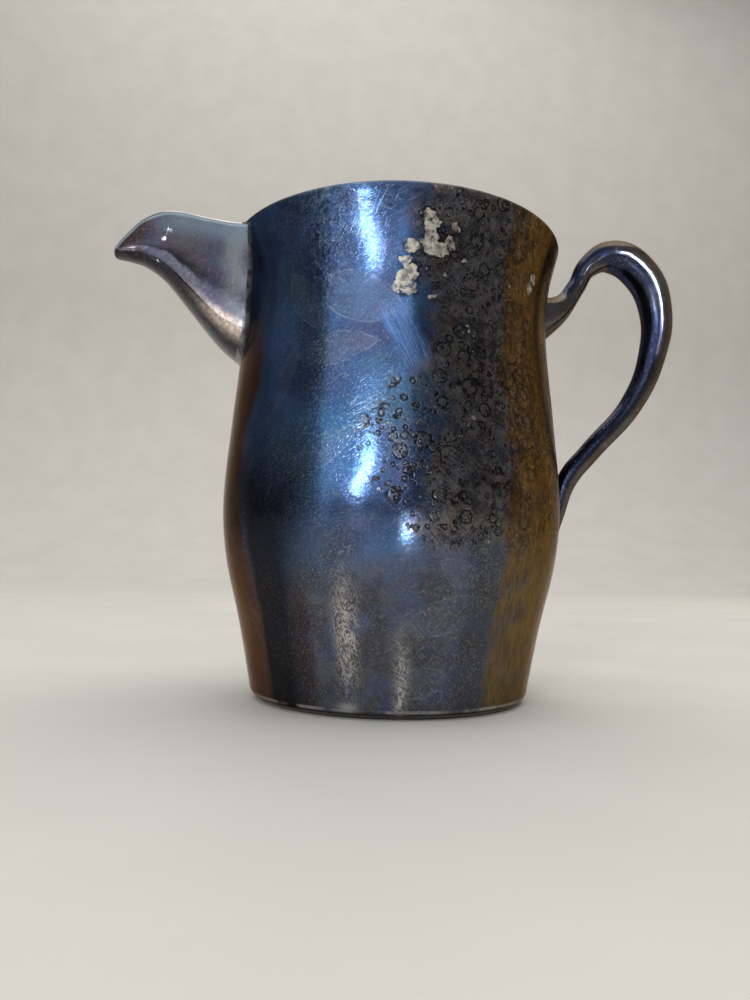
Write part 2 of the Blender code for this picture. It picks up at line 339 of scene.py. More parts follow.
def spout_half_section(reach, inset):
    """Half of the trough's section at a reach, as (y, z) from the keel to the edge, moved in by inset."""
    keel = smooth_law(SPOUT_KEEL, reach)
    edge = smooth_law(SPOUT_EDGE, reach)
    rounding = smooth_law(SPOUT_KEEL_ROUNDING, reach)
    keel_width = smooth_law(SPOUT_KEEL_HALF_WIDTH, reach) - inset
    edge_width = smooth_law(SPOUT_EDGE_HALF_WIDTH, reach) - inset
    keel_slope = (smooth_law(SPOUT_KEEL, reach + SLOPE_STEP) - keel) / SLOPE_STEP
    inner_keel = keel + inset * math.sqrt(1 + keel_slope**2)
    rounding *= (edge - inner_keel) / (edge - keel)
    points = []
    for step in range(SPOUT_ROUND_POINTS + 1):
        angle = math.pi / 2 * step / SPOUT_ROUND_POINTS
        rise = rounding * (1 - math.cos(angle)**SPOUT_ROUND_POWER)
        points.append((keel_width * math.sin(angle)**SPOUT_ROUND_POWER, inner_keel + rise))
    side_bottom = inner_keel + rounding
    for step in range(1, SPOUT_SIDE_POINTS + 1):
        u = step / SPOUT_SIDE_POINTS
        flare = (edge_width - keel_width) * u**SPOUT_FLARE_POWER
        points.append((keel_width + flare, side_bottom + (edge - side_bottom) * u))
    return points


def spout_section(reach, inset):
    half = spout_half_section(reach, inset)
    return [(-y, z) for y, z in reversed(half[1:])] + half


def spout_ring(reach, shrink):
    """Closed section: outside, rounded lip, inside, rounded lip. shrink closes it towards its middle."""
    outside = spout_section(reach, 0)
    inside = spout_section(reach, WALL)
    lip = min(WALL / 2, (outside[-1][1] - inside[len(inside) // 2][1]) / 2)
    outside = [(y, z - lip * raised(z, outside)) for y, z in outside]
    inside = [(y, z - lip * raised(z, inside)) for y, z in inside]
    right = lip_arc(outside[-1], inside[-1], lip)
    left = lip_arc(inside[0], outside[0], lip)
    ring = outside + right + list(reversed(inside)) + left
    middle = (outside[len(outside) // 2][1] + inside[len(inside) // 2][1]) / 2
    return [(-reach, y - y * shrink, z + (middle - z) * shrink) for y, z in ring]


def raised(z, section):
    """0 at the section's keel and 1 at its edges."""
    keel = section[len(section) // 2][1]
    edge = section[0][1]
    return ((z - keel) / (edge - keel))**2


def lip_arc(start, end, height):
    """Points between two edge points along a half ellipse above them."""
    points = []
    for step in range(1, LIP_STEPS):
        angle = math.pi * step / LIP_STEPS
        t = (1 - math.cos(angle)) / 2
        z = start[1] + (end[1] - start[1]) * t + height * math.sin(angle)
        points.append((start[0] + (end[0] - start[0]) * t, z))
    return points


def make_spout():
    sections = []
    tip_start = SPOUT_TIP - TIP_LENGTH
    for step in range(SPOUT_SECTIONS + 1):
        t = step / SPOUT_SECTIONS
        reach = SPOUT_ROOT + (tip_start - SPOUT_ROOT) * math.sin(t * math.pi / 2)**SPOUT_CROWDING
        sections.append(spout_ring(reach, 0))
    for step in range(1, TIP_STEPS):
        angle = math.pi / 2 * step / TIP_STEPS
        reach = tip_start + TIP_LENGTH * math.sin(angle)
        sections.append(spout_ring(reach, TIP_CLOSING * (1 - math.cos(angle))))
    builder, rings = loft(sections)
    outside_count = 2 * (SPOUT_ROUND_POINTS + SPOUT_SIDE_POINTS) + 1
    lip_top = -(LIP_STEPS // 2)
    for ring in (rings[0], rings[-1]):
        count = len(ring)
        for index in range(outside_count + LIP_STEPS - 2):
            near = lip_top + index
            far = lip_top - 1 - index
            builder.faces.new((ring[near % count], ring[(near + 1) % count],
                               ring[(far - 1) % count], ring[far % count]))
    spout = from_builder("spout_shell", builder)
    subtract(spout, body_envelope(JOINT_BITE))
    store_places(spout.data)
    return spout


def store_places(mesh):
    """Millimetres below the pouring edge, and 0 at the keel to 1 at the edge, for the spout's materials."""
    depths, rises = [], []
    for vertex in mesh.vertices:
        reach = min(max(-vertex.co.x, SPOUT_ROOT), SPOUT_TIP)
        edge, keel = smooth_law(SPOUT_EDGE, reach), smooth_law(SPOUT_KEEL, reach)
        depths.append((edge - vertex.co.z) / MM)
        rises.append((vertex.co.z - keel) / (edge - keel))
    for name, values in zip(SPOUT_PLACES, (depths, rises)):
        mesh.attributes.new(name, "FLOAT", "POINT").data.foreach_set("value", values)


def opening_cutter():
    """The U-shaped pour opening behind the spout."""
    outline = spout_section(BODY_STATIONS[-2][1], WALL + OPENING_LEDGE)
    outline = [(outline[0][0], OPENING_TOP)] + outline + [(outline[-1][0], OPENING_TOP)]
    sections = [[(-reach, y, z) for y, z in outline] for reach in (20 * MM, 40 * MM)]
    builder, rings = loft(sections)
    for ring in rings:
        builder.faces.new(ring)
    return from_builder("opening", builder)


def foot_line_point(fraction):
    """Where the spout's outside meets the body, and the way along the spout there.

    The fraction runs from -1 at the -Y edge round the keel to 1 at the +Y edge.
    """
    def outside_point(reach):
        section = spout_section(reach, 0)
        place = (fraction + 1) / 2 * (len(section) - 1)
        index = min(int(place), len(section) - 2)
        blend = place - index
        y = section[index][0] * (1 - blend) + section[index + 1][0] * blend
        z = section[index][1] * (1 - blend) + section[index + 1][1] * blend
        return Vector((-reach, y, z))

    near, far = SPOUT_ROOT, 36 * MM
    for _ in range(30):
        middle = (near + far) / 2
        point = outside_point(middle)
        if math.hypot(point.x, point.y) < body_radius(min(point.z, BODY_HEIGHT)):
            near = middle
        else:
            far = middle
    along_spout = (outside_point(near + 5 * SLOPE_STEP) - outside_point(near)).normalized()
    return outside_point(near), along_spout


def body_normal(point):
    height = min(point.z, BODY_HEIGHT - SLOPE_STEP)
    slope = (body_radius(height + SLOPE_STEP) - body_radius(height - SLOPE_STEP)) / (2 * SLOPE_STEP)
    outward = Vector((point.x, point.y, 0)).normalized()
    return (outward - Vector((0, 0, slope))).normalized()


def make_solder_fillet():
    """Concave bead of solder in the corner between the spout's outside and the body."""
    feet = [foot_line_point(-1 + 2 * step / FILLET_STEPS) for step in range(FILLET_STEPS + 1)]
    sections = []
    for index, (foot, along_spout) in enumerate(feet):
        before = feet[max(index - 1, 0)][0]
        after = feet[min(index + 1, FILLET_STEPS)][0]
        travel = (after - before).normalized()
        wall_normal = body_normal(foot)
        on_body = travel.cross(wall_normal).normalized()
        if on_body.dot(along_spout) > 0:
            on_body = -on_body
        inward_spout = travel.cross(along_spout).normalized()
        on_spout = along_spout
        if on_spout.dot(wall_normal) < 0:
            on_spout = -on_spout
        away = (on_body + on_spout).normalized()
        if inward_spout.dot(away) > 0:
            inward_spout = -inward_spout
        body_end = foot + on_body * FILLET_WIDTH
        spout_end = foot + on_spout * FILLET_WIDTH
        ring = []
        for step in range(FILLET_ARC_STEPS + 1):
            t = step / FILLET_ARC_STEPS
            ring.append((1 - t)**2 * body_end + 2 * t * (1 - t) * foot + t**2 * spout_end)
        into_spout = inward_spout * FILLET_SPOUT_BITE
        into_wall = -wall_normal * FILLET_WALL_BITE
        ring += [spout_end + into_spout, foot + into_wall + into_spout, body_end + into_wall]
        sections.append(ring)
    builder, rings = loft(sections)
    for ring in (rings[0], rings[-1]):
        builder.faces.new(ring)
    return from_builder("spout_solder_fillet", builder)


def make_handle():
    curve = bpy.data.curves.new("handle_curve", "CURVE")
    curve.dimensions = "3D"
    curve.bevel_depth = MM
    curve.bevel_resolution = 12
    curve.resolution_u = 24
    curve.use_fill_caps = True
    spline = curve.splines.new("BEZIER")
    spline.radius_interpolation = "CARDINAL"
    spline.bezier_points.add(len(HANDLE_POINTS) - 1)
    for point, (x, z, radius) in zip(spline.bezier_points, HANDLE_POINTS):
        point.co = (x, 0, z)
        point.radius = radius / MM
        point.handle_left_type = "AUTO"
        point.handle_right_type = "AUTO"
    curve_object = add_object("handle_curve", curve)
    bpy.context.view_layer.update()
    evaluated = curve_object.evaluated_get(bpy.context.evaluated_depsgraph_get())
    mesh = bpy.data.meshes.new_from_object(evaluated)
    bpy.data.objects.remove(curve_object, do_unlink=True)
    builder = bmesh.new()
    builder.from_mesh(mesh)
    bmesh.ops.remove_doubles(builder, verts=builder.verts, dist=0.002 * MM)
    handle = from_builder("handle_casting", builder)
    subtract(handle, body_envelope(JOINT_BITE))
    return handle


def shade(piece, materials, choose=None):
    """Smooth shading, the piece's materials, and for each face the slot that choose(centre, normal) gives."""
    mesh = piece.data
    mesh.materials.clear()
    for material in materials:
        mesh.materials.append(material)
    if choose:
        for face in mesh.polygons:
            face.material_index = choose(face.center, face.normal)
    mesh.shade_smooth()
    mesh.set_sharp_from_angle(angle=math.radians(SHARP_ANGLE))


# ---------------------------------------------------------------- materials

def add_node(tree, kind, inputs, **settings):
    """The outputs of a new node with its settings and its inputs, by name or number."""
    node = tree.nodes.new("ShaderNode" + kind)
    for name, value in settings.items():
        setattr(node, name, value)
    for name, value in inputs.items():
        put(node.inputs[name], value)
    return node.outputs


def put(socket, value):
    if isinstance(value, bpy.types.NodeSocket):
        socket.id_data.links.new(value, socket)
    elif isinstance(value, tuple) and socket.type == "RGBA":
        socket.default_value = value + (1,)
    else:
        socket.default_value = value


def beside(kind, inputs, **settings):
    """A new node's outputs, in the tree that its linked inputs are in."""
    tree = next(value.id_data for value in inputs.values() if isinstance(value, bpy.types.NodeSocket))
    return add_node(tree, kind, inputs, **settings)


def operate(operation, first, second=0):
    return beside("Math", {0: first, 1: second}, operation=operation)[0]


def vector(operation, first, second):
    outputs = beside("VectorMath", {0: first, 1: second}, operation=operation)
    return outputs["Value" if operation == "DISTANCE" else "Vector"]


def chained(operation, values):
    result = values[0]
    for value in values[1:]:
        result = operate(operation, result, value)
    return result


def times(*values):
    return chained("MULTIPLY", values)


def plus(*values):
    return chained("ADD", values)


def most(*values):
    return chained("MAXIMUM", values)


def without(mask):
    """1 where the mask is 0, and 0 where it is 1."""
    return operate("SUBTRACT", 1, mask)


def ramp(value, low, high):
    """0 at low, 1 at high, smooth between; low above high turns it round."""
    rising = low < high
    return beside("MapRange", {
        "Value": value, "From Min": min(low, high), "From Max": max(low, high),
        "To Min": 0 if rising else 1, "To Max": 1 if rising else 0,
    }, interpolation_type="SMOOTHSTEP")["Result"]


def band(value, middle, half_width):
    """1 at the middle and 0 beyond the half width on either side."""
    return ramp(operate("ABSOLUTE", operate("SUBTRACT", value, middle)), half_width, 0)


def mix(factor, first, second):
    return beside("Mix", {0: factor, 6: first, 7: second}, data_type="RGBA")[2]


def tint(tone, strength, mask, colour):
    return mix(times(mask, strength), tone, colour)


def layered(tone, *layers):
    """The tone under its layers, each a strength, a mask and a colour."""
    for layer in layers:
        tone = tint(tone, *layer)
    return tone


def bumps(*layers):
    """The normal after the layers of relief, each a height and a depth in mm."""
    normal = None
    for height, depth in layers:
        inputs = {"Strength": 1, "Distance": depth * MM, "Height": height}
        if normal:
            inputs["Normal"] = normal
        normal = beside("Bump", inputs)["Normal"]
    return normal


class Textures:
    """A new material and the textures in its node tree. Sizes are in millimetres on the object."""

    def __init__(self, name):
        self.material = bpy.data.materials.new(name)
        self.material.use_nodes = True
        self.tree = self.material.node_tree
        self.coordinates = self.node("TexCoord")
        self.mm = vector("MULTIPLY", self.coordinates["Object"], (1000, 1000, 1000))
        parts = self.node("SeparateXYZ", {0: self.mm})
        self.height = parts["Z"]
        angle = operate("ARCTAN2", parts["X"], times(parts["Y"], -1))
        self.round_it = times(angle, math.degrees(1))

    def node(self, kind, inputs=None, **settings):
        return add_node(self.tree, kind, inputs or {}, **settings)

    def noise(self, size, detail=4, roughness=0.55, where=None, distortion=0, output="Fac"):
        return self.node("TexNoise", {
            "Vector": where or self.mm, "Scale": 1.0 / size, "Detail": detail,
            "Roughness": roughness, "Distortion": distortion,
        })[output]

    def patches(self, size, low, high, detail=5, distortion=0):
        return ramp(self.noise(size, detail=detail, distortion=distortion), low, high)

    def ragged(self, size, amount):
        """Noise about zero, reaching roughly half the amount either way."""
        return times(operate("SUBTRACT", self.noise(size, detail=6), 0.5), amount)

    def warped(self, size, amount):
        """Position pushed about by noise, for ragged outlines."""
        colour = self.noise(size, detail=3, roughness=0.5, output="Color")
        centred = vector("SUBTRACT", colour, (0.5, 0.5, 0.5))
        return vector("ADD", self.mm, vector("MULTIPLY", centred, (amount, amount, amount)))

    def spots(self, size, smallest, largest, kept, where=None):
        """Scattered round spots: distance from each spot's edge in mm, and 1 where the spot is kept."""
        cells = self.node("TexVoronoi", {"Vector": where or self.mm, "Scale": 1.0 / size})
        chances = self.node("SeparateColor", {0: cells["Color"]})
        radius = plus(smallest, times(chances[0], largest - smallest))
        beyond = operate("SUBTRACT", times(cells["Distance"], size), radius)
        return beyond, operate("LESS_THAN", chances[1], kept)

    def cracks(self, size, width, where):
        """1 on the thin lines between the cells of a crackled surface."""
        cells = self.node("TexVoronoi", {"Vector": where, "Scale": 1.0 / size}, feature="DISTANCE_TO_EDGE")
        return ramp(times(cells["Distance"], size), width, 0.3 * width)

    def hairlines(self, turn, length, width, low, high):
        """Fine straight scratches along a turned X axis; turn is three angles in degrees."""
        turned_by = tuple(math.radians(angle) for angle in turn)
        turned_mm = self.node("VectorRotate", {"Vector": self.mm, "Rotation": turned_by},
                              rotation_type="EULER_XYZ")["Vector"]
        stretched = vector("MULTIPLY", turned_mm, (1 / length, 1 / width, 1 / width))
        return ramp(self.noise(1, detail=1, where=stretched), low, high)

    def on_wall(self, degrees, height, tilt):
        """Millimetres along and across a line on the body's wall, from a place on it."""
        u = times(operate("SUBTRACT", self.round_it, degrees), math.radians(WALL_MIDDLE_RADIUS))
        v = operate("SUBTRACT", self.height, height)
        cosine, sine = math.cos(math.radians(tilt)), math.sin(math.radians(tilt))
        return plus(times(u, cosine), times(v, sine)), plus(times(u, -sine), times(v, cosine))

    def on_front(self):
        """1 on the front of the wall and 0 at its back, where the round angle jumps."""
        return ramp(operate("ABSOLUTE", self.round_it), 120, 100)

    def place(self, degrees, half_degrees, height, half_height):
        """A soft patch about a place on the front of the wall."""
        return times(band(self.round_it, degrees, half_degrees), band(self.height, height, half_height),
                     self.on_front())

    def finish(self, colour, roughness, normal, metallic=1, grazing=UNTINTED):
        shader = self.tree.nodes["Principled BSDF"]
        put(shader.inputs["Base Color"], colour)
        put(shader.inputs["Roughness"], roughness)
        shader.inputs["Metallic"].default_value = metallic
        put(shader.inputs["Specular Tint"], grazing)
        if normal:
            put(shader.inputs["Normal"], normal)
        return self.material


def scratches(tex):
    """Wipe marks in several directions, strongest where the sheet was rubbed."""
    lines = most(
        tex.hairlines((0, 32, 10), 14, 0.17, 0.62, 0.72),
        tex.hairlines((0, -48, -8), 10, 0.14, 0.63, 0.73),
        tex.hairlines((0, 70, 20), 18, 0.15, 0.64, 0.74),
        tex.hairlines((0, -15, 5), 8, 0.15, 0.65, 0.75),
    )
    rubbed = tex.patches(12, 0.4, 0.62, detail=3)
    return times(lines, plus(times(rubbed, 0.75), 0.25))


def ring_marks(tex):
    """Dark ring outlines, the spots inside them, and bright dots between."""
    outlines, insides, dots = [], [], []
    where = tex.warped(1.6, 0.8)
    for size, smallest, largest, kept in RING_SIZES:
        beyond, present = tex.spots(size, smallest, largest, kept, where)
        thickness = 0.12 + 0.08 * largest
        away = operate("ABSOLUTE", beyond)
        outlines.append(times(ramp(away, thickness, 0.5 * thickness), present))
        insides.append(times(ramp(beyond, 0, -0.3), present))
    for size, smallest, largest, kept in DOT_SIZES:
        beyond, present = tex.spots(size, smallest, largest, kept)
        dots.append(times(ramp(beyond, 0.05, -0.1), present))
    return most(*outlines), most(*insides), most(*dots)


def bare_patches_and_glints(tex):
    """Nearness to the patches where the tarnish has lifted and to the painted glints: 1 in their middle,
    below 0 outside.
    """
    where = tex.warped(1.3, 2.4)
    nearest = []
    for degrees, height, radius in BARE_AND_GLINT_PLACES:
        angle = math.radians(degrees)
        reach = body_radius(height * MM) / MM
        centre = (reach * math.sin(angle), -reach * math.cos(angle), height)
        away = vector("DISTANCE", where, centre)
        nearest.append(operate("SUBTRACT", 1, times(away, 1 / radius)))
    return most(*nearest)


def leaf_smears(tex):
    """Pointed smears left by wiping: how far inside each, and their thin raised outlines."""
    fills, outlines = [], []
    for degrees, height, tilt, half_length, half_width in LEAVES:
        along, across = tex.on_wall(degrees, height, tilt)
        middle = times(operate("ABSOLUTE", across), 1 / half_width)
        ends = operate("POWER", operate("ABSOLUTE", times(along, 1 / half_length)), 2)
        reach = plus(middle, ends, tex.ragged(2.5, 0.25))
        fills.append(ramp(reach, 1, 0.86))
        outlines.append(band(reach, 1, 0.05 + 0.12 / half_width))
    on_front = tex.on_front()
    return times(most(*fills), on_front), times(most(*outlines), on_front)


def brushed_sheen_patch(tex):
    """A rubbed patch of straight slanting brush lines at the front of the waist; its bright blue is a painted
    sheen.
    """
    along, across = tex.on_wall(*BRUSHED_PLACE)
    edge = tex.ragged(2.5, 2.6)
    inside = times(ramp(plus(operate("ABSOLUTE", along), edge), 7.6, 4.4),
                   ramp(plus(operate("ABSOLUTE", across), edge), 3.4, 1.5))
    brush = tex.node("CombineXYZ", {0: times(along, 1 / 7), 1: times(across, 1 / 0.28)})[0]
    lines = ramp(tex.noise(1, detail=2, where=brush), 0.38, 0.62)
    return times(inside, tex.on_front(), plus(0.2, times(lines, 0.8)))


class Zones:
    """The wandering edges and masks that several stages of the body's tarnish share."""

    def __init__(self, tex):
        height, round_it = tex.height, tex.round_it
        self.front = tex.on_front()
        self.upright = vector("MULTIPLY", tex.mm, (1, 1, 0.1))

        # The spotted field at the front and right; its rings reach further round the belly
        self.edge_of_spots = plus(round_it, tex.ragged(7, 30))
        from_foot = ramp(plus(height, tex.ragged(6, 10)), 25, 32)
        right_limit = ramp(round_it, 130, 95)
        self.spotted = times(ramp(self.edge_of_spots, -5, 6), from_foot, right_limit)
        belly = times(band(height, 45, 17), 22)
        ringed_edge = plus(self.edge_of_spots, belly)
        self.ringed = times(ramp(ringed_edge, -4, 4), from_foot, right_limit)

        # The brown side
        self.brown_edge = plus(round_it, tex.ragged(5, 11), times(ramp(height, 62, 24), 3),
                               times(band(height, 60, 9), 5))
        self.brown = times(ramp(self.brown_edge, 27.5, 32), ramp(round_it, 150, 110))

        # The left edge, and the painted dark reflection streak low beside it
        self.left_edge = plus(round_it, tex.ragged(9, 6))
        streak = times(ramp(self.left_edge, -33, -46), ramp(self.left_edge, -60, -56))
        self.dark_reflection_streak = times(streak, ramp(height, 46, 30), self.front)

        # Ring marks with the dots between them, fainter on the brown
        outlines, self.insides, dots = ring_marks(tex)
        clusters = plus(0.35, times(tex.patches(8, 0.36, 0.5, detail=3), 0.65))
        strength = times(self.ringed, clusters)
        self.ring_strength = times(strength, without(times(self.brown, 0.5)))
        self.outlines = times(outlines, self.ring_strength)
        self.dots = times(dots, strength, tex.patches(5, 0.42, 0.54, detail=3))

        # Wear, with a painted sheen on the brushed patch and painted glints among the lifted patches
        self.unstreaked = without(times(most(self.brown, self.dark_reflection_streak), 0.7))
        self.scratched = times(scratches(tex), self.unstreaked)
        self.brushed_sheen = brushed_sheen_patch(tex)
        self.bare_and_glints = plus(bare_patches_and_glints(tex), tex.ragged(0.9, 0.8))
        worn_through = plus(0.25, times(tex.patches(0.9, 0.36, 0.48), 0.75))
        self.bare_and_glint_core = times(ramp(self.bare_and_glints, 0, 0.16), worn_through)


def blue_field(tex):
    """Blue to violet over most of the wall, greyer and blotched towards the foot."""
    foot_tone = layered(
        mix(tex.patches(6, 0.4, 0.56), GREY, SLATE),
        (0.7, tex.patches(5, 0.5, 0.62, distortion=0.6), FOOT_BLUE),
        (0.6, tex.patches(4, 0.54, 0.64), FOOT_BROWN),
    )
    return layered(
        mix(tex.patches(17, 0.36, 0.62, distortion=0.4), NAVY, STEEL_BLUE),
        (0.55, tex.patches(10, 0.5, 0.68), VIOLET),
        (0.45, tex.patches(13, 0.52, 0.66), TEAL),
        (0.85, ramp(plus(tex.height, tex.ragged(8, 14)), 34, 22), foot_tone),
    )


def front_marks(tex, zones, tone):
    """The bluest swell, the leaf smears, the hammered look near the rim with its dark and pale speckle
    painted as broken reflection, and a rubbed spot.
    """
    smear_fill, smear_line = leaf_smears(tex)
    hammered = times(band(tex.round_it, HAMMERED_DEGREES, 12),
                     ramp(tex.height, HAMMERED_FROM, 76), zones.front)
    dimples = tex.noise(1.1, detail=5, roughness=0.6)
    rubbed_lines = tex.hairlines((0, -35, 0), 3, 0.25, 0.5, 0.62)
    return layered(
        tone,
        (0.6, tex.place(-25, 16, 47, 10), SWELL_BLUE),
        (0.24, smear_fill, HAZE),
        (0.28, times(smear_line, tex.patches(4, 0.36, 0.56)), SMEAR_LINE),
        # Painted broken reflection over the hammered patch
        (0.75, times(hammered, ramp(dimples, 0.5, 0.42)), HAMMERED_DARK),
        (0.45, times(hammered, ramp(dimples, 0.54, 0.66)), HAMMERED_PALE),
        (0.8, times(tex.place(-41, 9, 43.5, 4), rubbed_lines), HAZE),
    )


def spotted_field(tex, zones, tone):
    """Grey and brown mottle from the front to the right."""
    mottle = layered(
        mix(tex.patches(2.4, 0.38, 0.62), SPOTTED_DARK, SPOTTED_PALE),
        (0.5, tex.patches(5, 0.54, 0.66), MOSS),
        (0.6, tex.patches(4, 0.53, 0.64, detail=6), RUST),
        (0.35, tex.patches(6, 0.52, 0.62), SPOTTED_BLUE),
    )
    return tint(tone, 0.92, zones.spotted, mottle)


def brown_side(tex, zones, tone):
    """Streaked brown, partly tarnish and partly a painted warm reflection, the painted shade beside the
    handle and the crackled patch before it.
    """
    height = tex.height
    fine_streaks = tex.noise(0.7, detail=4, where=zones.upright)
    brown_tone = layered(
        mix(tex.patches(3.2, 0.36, 0.66, detail=6), BROWN, UMBER),
        # Lighter ochre low down, a painted warm reflection
        (0.6, ramp(height, 42, 14), OCHRE),
        (0.6, times(tex.patches(4, 0.46, 0.6, detail=6), ramp(height, 34, 24)), SLATE),
        (0.4, ramp(fine_streaks, 0.5, 0.38), BROWN_STREAK_DARK),
        (0.25, ramp(fine_streaks, 0.56, 0.68), BROWN_STREAK_PALE),
    )
    # Painted shade beside the handle, following the waist
    follows_waist = plus(tex.round_it, times(band(height, 68, 24), 7))
    painted_handle_shade = times(band(follows_waist, 57, 4.5), ramp(height, 41, 48))
    cracked = times(ramp(zones.edge_of_spots, 6, 22), band(height, 56, 26),
                    zones.front, tex.patches(7, 0.34, 0.52))
    return layered(
        tone,
        (0.97, zones.brown, brown_tone),
        (0.88, painted_handle_shade, PITCH),
        (0.35, times(cracked, tex.patches(1.1, 0.5, 0.64, detail=2)), CRACKED_CELL),
        (0.8, times(cracked, tex.cracks(1.5, 0.16, tex.warped(1.4, 1.1))), PITCH),
    )


def russet_edge(tex, zones, tone):
    """Grooved reddish brown at the left edge, a painted warm reflection."""
    height = tex.height
    edge = plus(zones.left_edge, times(ramp(height, 20, 40), 6),
                times(ramp(height, 46, 60), -6))
    russet = times(ramp(edge, -55, -60), ramp(tex.round_it, -135, -88),
                   ramp(height, 76, 62))
    grooves = tex.noise(1.6, detail=3, where=zones.upright)
    return tint(tone, 0.92, russet, mix(ramp(grooves, 0.38, 0.6), RUSSET, RUSSET_DARK))


def low_streaks(tex, zones, tone):
    """Painted shade, painted dark reflections and upright painted highlight streaks low on the wall."""
    height = tex.height
    # Painted shade and painted dark reflection bands
    left_shade = times(ramp(zones.left_edge, -24, -40), band(height, 36, 19), zones.front)
    red_reflection_streak = times(band(zones.left_edge, -38, 6), ramp(height, 25, 19))
    right_shade = times(ramp(zones.brown_edge, 10, 22), ramp(height, 36, 26),
                        zones.front, without(zones.brown))

    # Upright painted highlight streaks, with finer threads and brighter cores
    wander = plus(tex.round_it, tex.ragged(7, 4))
    uneven = plus(height, tex.ragged(3, 6))
    first = times(band(wander, FIRST_STREAK_DEGREES, 7), band(uneven, 14, 15))
    second = times(band(wander, SECOND_STREAK_DEGREES, 4.5), ramp(uneven, 20, 5))
    streaks = plus(first, times(second, 0.8))
    threads = most(
        tex.hairlines((0, 62, 0), 3.2, 0.26, 0.55, 0.63),
        tex.hairlines((0, -28, 0), 2.8, 0.24, 0.56, 0.64),
        tex.hairlines((0, -70, 0), 3.6, 0.26, 0.57, 0.65),
    )
    core = most(
        times(band(wander, FIRST_STREAK_DEGREES, 1.8),
              band(plus(height, tex.ragged(3, 8)), 15, 11)),
        times(band(wander, SECOND_STREAK_DEGREES, 1.5), ramp(uneven, 12, 4)),
    )
    return layered(
        tone,
        (0.92, zones.dark_reflection_streak, LOW_DARK_REFLECTION),
        (0.85, left_shade, LEFT_SHADE),
        (0.75, red_reflection_streak, LOW_RED_REFLECTION),
        (0.6, right_shade, RIGHT_SHADE),
        (0.07, streaks, PAINTED_STREAK_HIGHLIGHT),
        (0.95, times(operate("POWER", streaks, 1.2), threads), PAINTED_STREAK_HIGHLIGHT),
        (0.8, times(core, tex.patches(0.8, 0.46, 0.6)), PAINTED_STREAK_HIGHLIGHT),
    )


def rings_and_crust(tex, zones, tone):
    """Ring marks and their pits, the crust of the spotted field, and the dots."""
    crust = tex.noise(0.75, detail=6, roughness=0.7)
    return layered(
        tone,
        (0.45, times(zones.insides, zones.ring_strength), PIT_FLOOR),
        (0.5, times(ramp(crust, 0.48, 0.36), zones.spotted), PITCH),
        (0.45, times(ramp(crust, 0.58, 0.68), zones.spotted), CRUST_PALE),
        (0.95, zones.outlines, PITCH),
        (0.55, zones.dots, BARE_AND_GLINT),
    )


def wear(tex, zones, tone):
    """Brushed patch with its painted sheen, grain, scratches, lifted patches with dark halos and painted
    glints, worn rim, a painted highlight line and glint at the foot, and darker along the very bottom edge.
    """
    height = tex.height
    grain = tex.noise(0.38, detail=3, roughness=0.7)
    tone = layered(
        tone,
        (0.75, zones.brushed_sheen, BRUSHED_SHEEN_BLUE),
        (0.15, times(ramp(grain, 0.52, 0.74), zones.unstreaked), WORN_AND_HIGHLIGHT),
        (0.35, ramp(grain, 0.46, 0.28), NEAR_BLACK),
        (0.26, zones.scratched, WORN_AND_HIGHLIGHT),
        (0.8, times(ramp(zones.bare_and_glints, -0.6, -0.1), tex.patches(3, 0.38, 0.58)), PITCH),
    )
    bare_and_glint_tone = mix(tex.patches(1.2, 0.4, 0.6, detail=8), BARE_AND_GLINT_DULL, BARE_AND_GLINT)
    # Painted highlight line along the foot, and a painted glint
    foot_highlight = most(
        times(band(height, 1.5, 0.5), tex.patches(6, 0.38, 0.56)),
        times(band(height, 2, 1.2), band(tex.round_it, -23, 6)),
    )
    return layered(
        mix(zones.bare_and_glint_core, tone, bare_and_glint_tone),
        # Darker along the very bottom edge
        (0.6, ramp(height, 1.6, 0.9), NEAR_BLACK),
        (0.15, ramp(height, 89.3, 89.8), WORN_AND_HIGHLIGHT),
        (0.7, foot_highlight, WORN_AND_HIGHLIGHT),
    )


def body_relief(tex, zones):
    """Ripples, grain, the hammered patch, ring marks and scratches."""
    relief = plus(times(zones.outlines, -1), times(zones.insides, 0.3),
                  times(zones.bare_and_glint_core, 0.4))
    dimpled = times(band(tex.round_it, HAMMERED_DEGREES, 13),
                    ramp(tex.height, HAMMERED_FROM, 74), zones.front)
    return bumps(
        (tex.noise(15, detail=2), 0.16),
        (tex.noise(1.6, detail=2), 0.03),
        (tex.noise(0.45, detail=2), 0.003),
        (times(tex.noise(0.9, detail=4), dimpled), 0.07),
        (times(relief, zones.ringed), 0.022),
        (zones.scratched, 0.004),
    )


def body_material():
    tex = Textures("body_tarnish")
    zones = Zones(tex)
    tone = blue_field(tex)
    for stage in (front_marks, spotted_field, brown_side, russet_edge, low_streaks, rings_and_crust, wear):
        tone = stage(tex, zones, tone)
    roughness = plus(
        0.15,
        times(tex.patches(14, 0.42, 0.65), 0.07),
        times(zones.spotted, 0.07),
        times(most(zones.outlines, zones.dots, zones.brushed_sheen), 0.14),
        times(zones.bare_and_glint_core, 0.28),
    )
    return tex.finish(tone, roughness, body_relief(tex, zones), grazing=BODY_GRAZING)


def inside_material():
    tex = Textures("inside_silver")
    clouds = tex.patches(15, 0.35, 0.7)
    tone = layered(
        mix(clouds, INSIDE_PALE, INSIDE_DULL),
        # Painted shade, darker towards the bottom of the inside
        (1, ramp(tex.height, 40, 4), INSIDE_DEEP_SHADE),
        (0.3, scratches(tex), WORN_AND_HIGHLIGHT),
    )
    roughness = plus(0.28, times(clouds, 0.15))
    return tex.finish(tone, roughness, bumps((tex.noise(9, detail=3), 0.08)))


def base_material():
    tex = Textures("base_silver")
    clouds = tex.patches(12, 0.35, 0.65, detail=6)
    tone = tint(mix(clouds, BASE_DULL, BASE_PALE), 0.6, scratches(tex), WORN_AND_HIGHLIGHT)
    roughness = plus(0.28, times(clouds, 0.15))
    return tex.finish(tone, roughness, bumps((tex.noise(8, detail=3), 0.06)))


